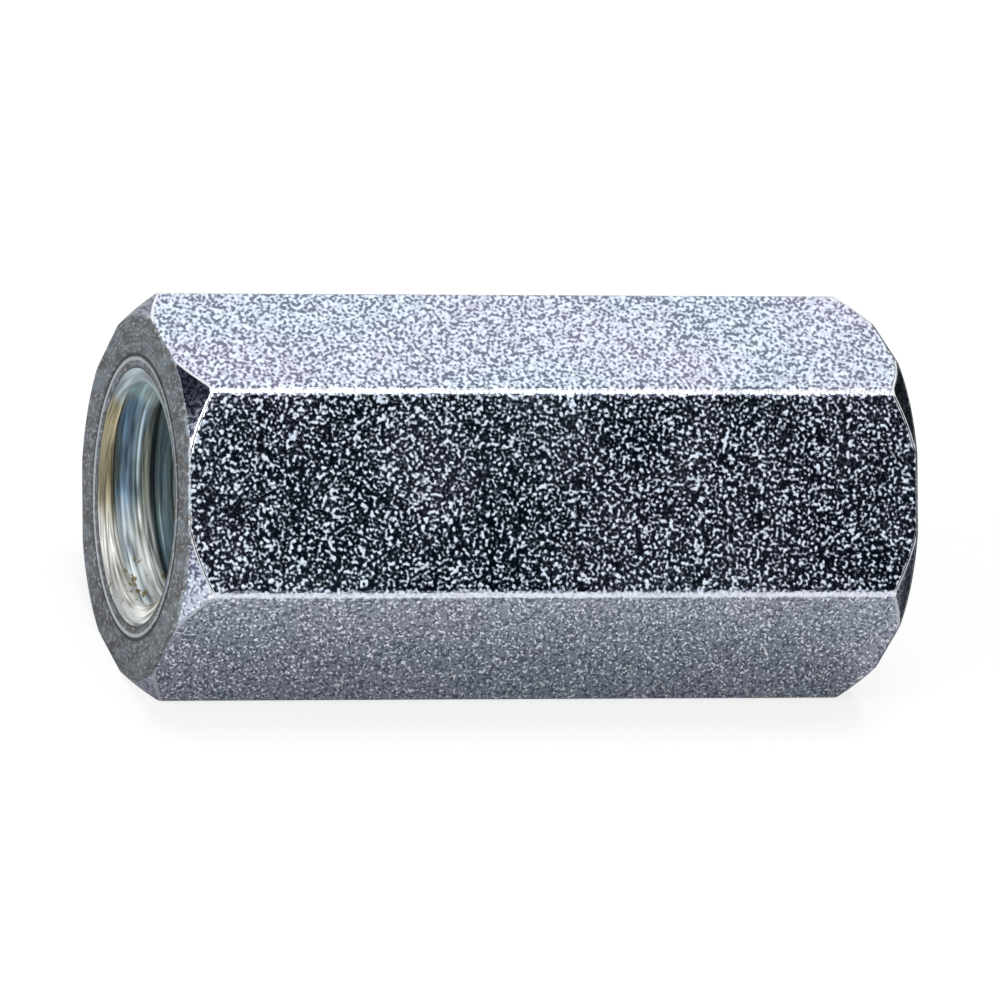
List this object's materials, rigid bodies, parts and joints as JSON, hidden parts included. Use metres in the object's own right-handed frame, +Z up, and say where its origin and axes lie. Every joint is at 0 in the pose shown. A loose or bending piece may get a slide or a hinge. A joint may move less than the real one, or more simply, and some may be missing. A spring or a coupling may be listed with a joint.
{
  "type": "coupling nut",
  "caption": "Long hexagon nut with a threaded hole right through it, for joining threaded rods end to end.",
  "frame": {"origin": "middle of the hole's axis, half way between the two end faces", "axes": "+X along the hole, +Z up and square to the upper flat; the nut lies on the flat that faces -Z"},
  "size_m": [0.03, 0.0158, 0.0138],
  "materials": {
    "zinc_plated_steel": "bright zinc plate over steel, finely mottled on the flats, with faint straw and blue tints in the hole"
  },
  "bodies": {
    "root": {"nut_body": "zinc_plated_steel"}
  },
  "joints": []
}
